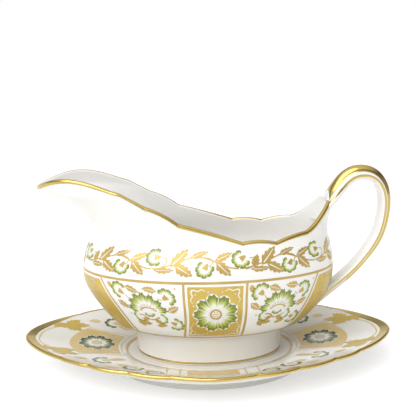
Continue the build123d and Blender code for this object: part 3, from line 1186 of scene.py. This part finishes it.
def draw_corner_scrolls(white, chart, half_width, low, high):
    """White scrolls and dots in the corners of a gold panel."""
    for sx in (-1, 1):
        for corner, sy in ((high, -1), (low, 1)):
            own = chained(chart, (sx * (half_width - 1.6), corner + sy * 1.5))
            run = np.array(((-7.6, 0.9), (-5.6, -0.2), (-3.6, 0.7), (-1.6, 0.1), (-0.3, 0.3)))
            drop = np.array(((0.9, 7.6), (-0.2, 5.6), (0.8, 3.6), (0.1, 1.6), (0.3, 0.3)))
            for path in (run, drop * np.array((-1, 1))):
                flat = curved(path, 16) * np.array((sx, sy))
                white.line(own, flat, np.linspace(0.30, 0.75, 16), EDGE_LIFT)
            for spot in ((-2.4, 2.6), (-9.2, 1.2), (-1.2, 9.2)):
                white.dot(own, (sx * spot[0], sy * spot[1]), 0.36, EDGE_LIFT)


def fill_panel(sheet, line_left, line_right):
    """A gold ground between two lines up the wall, set in from them and from the gold lines."""
    share = np.linspace(0, 1, 26)
    across, up = np.meshgrid(share, share)
    low = along_profile(LOWER_LINE_Z) + PANEL_INSET
    high = along_profile(UPPER_LINE_Z) - PANEL_INSET
    z = np.interp(low + (high - low) * up, PROFILE_LENGTH, CHART_Z).ravel()
    left = line_left(z) + PANEL_INSET
    right = line_right(z) - PANEL_INSET
    psi = psi_at(left + (right - left) * across.ravel(), z)
    sheet.add(off_wall(psi, z, SKIN_LIFT), grid_faces(len(share), len(share), wrap=False))


def draw_level_line(sheet, z, width):
    """A gold line round the wall at one height."""
    angle = np.linspace(-math.pi, math.pi, 480, endpoint=False)
    middle = along_profile(z)
    rows = []
    for offset in (-0.5, 0.0, 0.5):
        height = float(np.interp(middle + offset * width, PROFILE_LENGTH, CHART_Z))
        rows.append(off_wall(angle, height, SKIN_LIFT))
    sheet.add(np.array(rows).reshape(-1, 3), grid_faces(3, len(angle)))


def draw_flower_panel(gold, white, green, chart):
    """The large half flower with its small flowers and leaves; origin in the middle of the panel."""
    prints = (gold, white)
    head = chained(chart, (-0.5, -0.8))
    green.petals(head, 11.2, 0.42, -4, 188, 7, depth=0.22, tooth=0.05)
    gold.line(head, curved(((-4.6, 0.2), (-3.0, 1.7), (0.0, 2.5), (3.0, 1.7), (4.6, 0.2))), 0.8)
    for k in range(8):
        angle = math.radians(12 + 22.3 * k)
        gold.dot(head, (4.6 * math.cos(angle), 0.1 + 3.9 * math.sin(angle)), 0.42)
    for at, radius, hollow, start, sweep in (((0.0, -0.4), 3.4, 0.35, 195, 150),
                                             ((-6.2, -3.6), 4.2, 0.45, 95, 205),
                                             ((5.6, -4.4), 3.8, 0.45, -110, 190)):
        green.petals(chained(head, at), radius, hollow, start, sweep, 4, depth=0.2)
    gold.line(head, curved(((-6.6, -2.6), (-3.4, -3.2), (-1.0, -5.4), (2.2, -5.0), (5.0, -3.6))), 0.8)
    add_leaves(prints, head, (((-1.6, -4.8), -160, 7.4, 3.2, 0.4), ((1.2, -5.4), -28, 6.6, 3.2, -0.4),
                              ((-1.0, -8.6), 178, 7.0, 2.8, 0.6), ((1.4, -9.8), 4, 6.4, 2.8, 0.5)))
    for at, radius, opening in (((-13.8, 10.4), 5.0, -38), ((13.4, 8.6), 5.0, -148),
                                ((12.2, -8.8), 4.6, 150)):
        add_small_flower(gold, green, chart, at, radius, opening, sweep=240)
    add_leaves(prints, chart, (
        ((-9.4, 12.9), -14, 8.2, 4.0, -0.7), ((8.8, 11.6), 168, 8.0, 4.0, 0.7),
        ((-17.4, 4.2), -38, 7.4, 4.0, 0.4), ((10.8, -0.2), 22, 7.6, 4.0, 0.5),
        ((-20.2, 14.6), -65, 5.2, 3.0, 0.3), ((-9.8, -7.8), -52, 5.6, 3.0, 0.4)))
    for spot in ((-12.4, -3.6), (19.6, 13.4)):
        gold.dot(chart, spot, 0.5)
    for stalk in (((-10.8, 8.2), (-9.6, 6.8), (-8.8, 5.8)), ((10.2, 6.6), (9.0, 7.0), (8.0, 7.8))):
        gold.line(chart, curved(stalk), 0.4)


def shifted(line, distance):
    """The same line up the wall, moved along it by distance."""
    return lambda z: line(z) + distance


def midway(first, second):
    """The line up the wall half way between two others."""
    return lambda z: (first(z) + second(z)) / 2


def draw_end_scroll(white, chart, side):
    """A small white S scroll with a dot at each end, beside the rosette of an end panel."""
    path = curved(((-2.6, -2.4), (-1.0, -3.2), (0.2, -1.6), (-0.4, 0.4), (0.8, 2.2), (2.6, 1.6)), 24)
    white.line(chart, path * np.array((side, 1)), 0.5 + 0.35 * np.sin(np.linspace(0, math.pi, 24)), EDGE_LIFT)
    white.dot(chart, (side * 3.6, -0.4), 0.36, EDGE_LIFT)
    white.dot(chart, (-side * 3.0, 0.8), 0.36, EDGE_LIFT)


def build_boat_pattern():
    """All printed pieces of the boat."""
    both = ((1, 1), (1, -1))
    lines, leaves, frieze_green, ribs = [Sheet() for _ in range(4)]
    draw_level_line(lines, UPPER_LINE_Z, 1.35)
    draw_level_line(lines, LOWER_LINE_Z, 1.7)
    draw_frieze(leaves, ribs, frieze_green)
    # the frieze runs right round, and all that follows is drawn on the front and mirrored
    leaves.mirrors = frieze_green.mirrors = ribs.mirrors = lines.mirrors = both
    ground = Sheet(both)

    dividers = []
    for top, bottom in ((-15.2, -14.8), (18.9, 16.3), (-61.0, -40.0), (60.4, 42.0)):
        ends = distance_at_x(top, UPPER_LINE_Z), distance_at_x(bottom, LOWER_LINE_Z)
        dividers.append(straight_line(*ends))
    first_left, first_right, second_left, second_right = dividers
    end_left = round_share(-0.25)
    end_right = round_share(0.25)

    rise = np.linspace(along_profile(LOWER_LINE_Z), along_profile(UPPER_LINE_Z), 24)
    for line in dividers:
        path = np.stack([np.zeros(24), rise - along_profile(44.0)], -1)
        lines.line(wall_chart(line, 44.0), path, 1.25)
    # an end panel and its mirror image meet, so these reach the inset past the middle of the end
    fill_panel(ground, first_left, first_right)
    fill_panel(ground, shifted(end_left, -PANEL_INSET), second_left)
    fill_panel(ground, second_right, shifted(end_right, PANEL_INSET))

    centre = wall_chart(midway(first_left, first_right), 43.6)
    high = float(along_profile(UPPER_LINE_Z) - along_profile(43.6)) - PANEL_INSET
    low = float(along_profile(LOWER_LINE_Z) - along_profile(43.6)) + PANEL_INSET
    rosette_gold = Sheet(both)
    draw_rosette(ribs, frieze_green, rosette_gold, centre, 11.8)
    draw_corner_scrolls(ribs, centre, 14.6, low, high)

    for inner, outer in ((first_left, second_left), (first_right, second_right)):
        draw_flower_panel(leaves, ribs, frieze_green, wall_chart(midway(inner, outer), 45.0))

    for line in (end_left, end_right):
        chart = wall_chart(line, 44.0)
        draw_rosette(ribs, frieze_green, rosette_gold, chart, 12.4)
        draw_corner_scrolls(ribs, chart, 26.0, low, high)
        for side in (-1, 1):
            for b in (5.6, -5.0):
                draw_end_scroll(ribs, chained(chart, (side * 19.0, b)), side)

    build_sheets((
        (ground, "boat_gold_panels", PANEL_GOLD, "gilding"),
        (lines, "boat_gold_lines", PRINT_GOLD, "gilding"),
        (leaves, "boat_gold_leaves", PRINT_GOLD, "gilding"),
        (rosette_gold, "boat_rosette_centres", PRINT_GOLD, "gilding"),
        (frieze_green, "boat_flower_petals", PETALS, "green_enamel"),
        (ribs, "boat_white_scrolls", CHINA, "white_china"),
    ), "boat")


# ---- Printed pattern on the stand ----------------------------------------------------------------
def build_stand_pattern():
    """All printed pieces of the stand, the same in its four quarters."""
    quarters = ((1, 1), (-1, 1), (1, -1), (-1, -1))
    ends = ((1, 1), (-1, 1))
    gold, white, green = [Sheet(quarters) for _ in range(3)]
    end_gold, end_white, end_green, centre_gold = [Sheet(ends) for _ in range(4)]
    whole = dish_chart(0.0, 0.0)

    # double line round the well
    angle = np.linspace(0, 2 * math.pi, 200, endpoint=False)
    rings = Sheet()
    for half_x, half_y, width in ((49.9, 37.2, 1.5), (53.2, 39.8, 0.5)):
        path = np.stack([half_x * np.cos(angle), half_y * np.sin(angle)], -1)
        rings.line(whole, path, width, closed=True)

    # gold end panel with its rosette, and the white cartouche beyond it
    side = np.linspace(-1, 1, 15)
    inner_edge = np.stack([55.2 - 3.2 * side**2, 13.5 * side], -1)
    outer_edge = np.stack([84.0 - 8.0 * side**2, 20.0 * side], -1)
    outline = np.vstack([inner_edge, outer_edge[::-1]])
    end_gold.shape(whole, outline)
    for sy in (-1, 1):
        border = curved(((50.0, sy * 16.0), (58.0, sy * 17.2), (68.0, sy * 19.0), (77.0, sy * 22.5)), 20)
        end_gold.line(whole, border, 0.7)
    draw_rosette(end_white, end_green, centre_gold, dish_chart(68.0, 0.0), 10.8)
    for sx, sy in ((-1, -1), (-1, 1), (1, -1), (1, 1)):
        at = (68.0 + sx * 10.6, sy * (12.2 if sx < 0 else 15.0))
        own = chained(whole, at)
        path = curved(((-2.6, 0.0), (-1.0, -0.9), (0.6, 0.1), (2.4, -0.4)), 14) * np.array((sx, sy))
        end_white.line(own, path, np.linspace(0.4, 0.9, 14), EDGE_LIFT)
        end_white.dot(own, (sx * 4.0, -sy * 1.8), 0.4, EDGE_LIFT)
        end_white.dot(own, (-sx * 4.6, -sy * 0.4), 0.4, EDGE_LIFT)
    bow = np.linspace(-1, 1, 31)
    cartouche = np.stack([101.5 - 12.5 * np.abs(bow) ** 2.6, 19.5 * bow], -1)
    end_gold.line(whole, cartouche, 0.9)

    # gilt leaves that end the cartouche
    gilt = Sheet(quarters)
    leaf = dish_chart(90.5, 19.0)
    for at, turn, length, width in (((0.0, 0.0), 158, 16.0, 8.0), ((-1.0, 1.0), 128, 11.5, 6.5),
                                    ((-1.0, -1.0), 186, 11.5, 5.5), ((3.0, -1.5), 150, 9.0, 6.5),
                                    ((5.5, -3.5), 118, 8.0, 5.0)):
        gilt.shape(chained(leaf, at, turn), leaf_outline(length, width, 0.6), EDGE_LIFT)

    # flowers and leaves on the diagonals
    prints = (gold, white)
    for at, radius, opening in (((60.5, 30.5), 6.3, 200), ((43.0, 42.0), 6.0, 250), ((31.0, 52.0), 5.2, 120)):
        add_small_flower(gold, green, whole, at, radius, opening)
    add_leaves(prints, whole, (
        ((69.0, 31.5), -16, 8.0, 4.6, 0.3), ((49.0, 23.6), 24, 10.5, 4.8, 0.6),
        ((52.5, 36.0), 158, 9.5, 4.6, 0.6), ((50.5, 47.0), -30, 9.5, 4.6, 0.5),
        ((37.0, 45.5), 165, 8.5, 4.4, 0.5), ((38.0, 55.0), -14, 9.5, 4.4, 0.3)))
    for stalk in (((48.0, 25.5), (53.0, 28.0), (56.6, 29.0)),
                  ((38.5, 44.0), (41.0, 46.0), (46.0, 46.5), (52.0, 43.0))):
        gold.line(whole, curved(stalk), 0.5)

    # gold panels in the middle of the long sides
    middle = Sheet(((1, 1), (1, -1)))
    bar = np.linspace(-14, 14, 20)
    top = np.stack([bar, 55.5 - 0.004 * bar**2], -1)
    bottom = np.stack([bar[::-1], 44.0 - 0.012 * bar[::-1] ** 2], -1)
    middle.shape(whole, np.vstack([bottom, top]))
    for x in (-17.5, 17.5, -24.5, 24.5):
        low = 37.5 * (1 - (x / 51.0) ** 2) ** 0.5 + 3.5
        middle.line(whole, ((x, low), (x * 1.03, 59.0)), 0.8)
    long = np.linspace(-24, 24, 30)
    middle.line(whole, np.stack([long, 59.0 - 0.006 * long**2], -1), 0.7)

    build_sheets((
        (gilt, "stand_gilt_leaves", PANEL_GOLD, "gilding"),
        (gold, "stand_gold_leaves", STAND_GOLD, "gilding"),
        (white, "stand_leaf_ribs", SHADED_CHINA_STAND, "white_china"),
        (green, "stand_flower_petals", PETALS_DARK, "green_enamel"),
        (end_gold, "stand_gold_panels", STAND_GOLD, "gilding"),
        (end_white, "stand_white_scrolls", SHADED_CHINA_STAND, "white_china"),
        (end_green, "stand_rosette_petals", PETALS_DARK, "green_enamel"),
        (centre_gold, "stand_rosette_centres", STAND_GOLD, "gilding"),
        (rings, "stand_well_lines", STAND_GOLD, "gilding"),
        (middle, "stand_side_panels", STAND_GOLD, "gilding"),
    ), "stand")


# ---- Camera, floor and light ---------------------------------------------------------------------
CAMERA_PLACE = (-0.0147, -0.3781, 0.1574)
CAMERA_TURN = (2.25, -9.55, -0.67)  # to the right, up, and about its own axis, in degrees
CAMERA_LENS = 56.49  # millimetres, with a sensor 36 mm wide


def build_camera():
    """A camera a little to the left of the middle, above the rim of the boat."""
    yaw, pitch, roll = [math.radians(angle) for angle in CAMERA_TURN]
    forward = Vector((math.sin(yaw) * math.cos(pitch), math.cos(yaw) * math.cos(pitch), math.sin(pitch)))
    right = Vector((math.cos(yaw), -math.sin(yaw), 0.0))
    up = right.cross(forward)
    tilted_right = right * math.cos(roll) + up * math.sin(roll)
    tilted_up = up * math.cos(roll) - right * math.sin(roll)
    camera = bpy.data.objects.new("camera", bpy.data.cameras.new("camera"))
    bpy.context.scene.collection.objects.link(camera)
    turn = Matrix((tilted_right, tilted_up, -forward)).transposed().to_4x4()
    camera.matrix_world = Matrix.Translation(CAMERA_PLACE) @ turn
    camera.data.sensor_width = 36.0
    camera.data.lens = CAMERA_LENS
    camera.data.clip_start = 0.01
    camera.data.clip_end = 50.0
    bpy.context.scene.camera = camera


def build_floor():
    """A wide pale floor."""
    material, nodes, links, shader = new_material("floor")
    mottled(nodes, links, shader, 6.0, 2.0, ((0.3, (0.69, 0.69, 0.69)), (0.7, (0.71, 0.71, 0.71))))
    shader.inputs["Roughness"].default_value = 0.8
    shader.inputs["Emission Color"].default_value = (1.0, 1.0, 1.0, 1.0)
    shader.inputs["Emission Strength"].default_value = 0.38
    angle = np.linspace(0, 2 * math.pi, 64, endpoint=False)
    mesh = bpy.data.meshes.new("floor")
    ring = [(6 * math.cos(a), 6 * math.sin(a), -0.0001) for a in angle]
    mesh.from_pydata(ring, [], [tuple(range(64))])
    mesh.materials.append(material)
    floor = bpy.data.objects.new("floor", mesh)
    bpy.context.scene.collection.objects.link(floor)


def build_world():
    """White surroundings lit mostly from above; reflections see a greyer band and a darker right side."""
    world = bpy.data.worlds.new("studio")
    world.use_nodes = True
    nodes = world.node_tree.nodes
    links = world.node_tree.links
    nodes.clear()
    output = nodes.new("ShaderNodeOutputWorld")
    background = nodes.new("ShaderNodeBackground")
    links.new(background.outputs["Background"], output.inputs["Surface"])
    place = nodes.new("ShaderNodeTexCoord")
    split = nodes.new("ShaderNodeSeparateXYZ")
    links.new(place.outputs["Generated"], split.inputs["Vector"])
    white = (1.0, 1.0, 1.0)
    dome = ramp(nodes, links, split.outputs["Z"], ((0.55, (0.19, 0.19, 0.19)), (0.65, white)))
    height = ramp(nodes, links, split.outputs["Z"],
                  ((0.0, white), (0.26, white), (0.42, (0.30, 0.30, 0.31)),
                   (0.55, (0.30, 0.30, 0.31)), (0.70, (1.0, 1.0, 0.99))))
    right = ramp(nodes, links, split.outputs["X"], ((0.30, white), (0.80, (0.40, 0.39, 0.37))))
    path = nodes.new("ShaderNodeLightPath")
    bands = blend_colours(nodes, links, "MULTIPLY", height.outputs["Color"], right.outputs["Color"])
    glossy = blend_colours(nodes, links, "MIX", dome.outputs["Color"], bands.outputs["Result"],
                           path.outputs["Is Glossy Ray"])
    seen = blend_colours(nodes, links, "MIX", glossy.outputs["Result"], None, path.outputs["Is Camera Ray"])
    seen.inputs["B"].default_value = (1.0, 1.0, 1.0, 1.0)
    links.new(seen.outputs["Result"], background.inputs["Color"])
    background.inputs["Strength"].default_value = 1.0
    bpy.context.scene.world = world


def add_softbox(name, place, target, size, power):
    """A square area light aimed at target."""
    data = bpy.data.lights.new(name, "AREA")
    data.shape = "RECTANGLE"
    data.size, data.size_y = size
    data.energy = power
    light = bpy.data.objects.new(name, data)
    bpy.context.scene.collection.objects.link(light)
    light.location = place
    light.rotation_euler = (Vector(target) - Vector(place)).to_track_quat("-Z", "Y").to_euler()


def build_light():
    """A wide soft light from the upper left, and a small softbox that puts a glint on the glaze."""
    add_softbox("key", (-0.75, -0.75, 0.75), (0.0, 0.0, 0.06), (0.5, 0.6), 0.9)
    sky = bpy.data.objects.new("overhead", bpy.data.lights.new("overhead", "SUN"))
    sky.data.energy = 1.85
    sky.rotation_euler = (math.radians(33), math.radians(-28), 0.0)
    sky.data.angle = math.radians(55)
    bpy.context.scene.collection.objects.link(sky)
    bpy.context.scene.view_settings.view_transform = "Standard"


build_boat_body()
build_rim_gilding()
build_boat_foot()
build_handle()
build_stand()
build_stand_gilding()
build_boat_pattern()
build_stand_pattern()
build_camera()
build_floor()
build_world()
build_light()
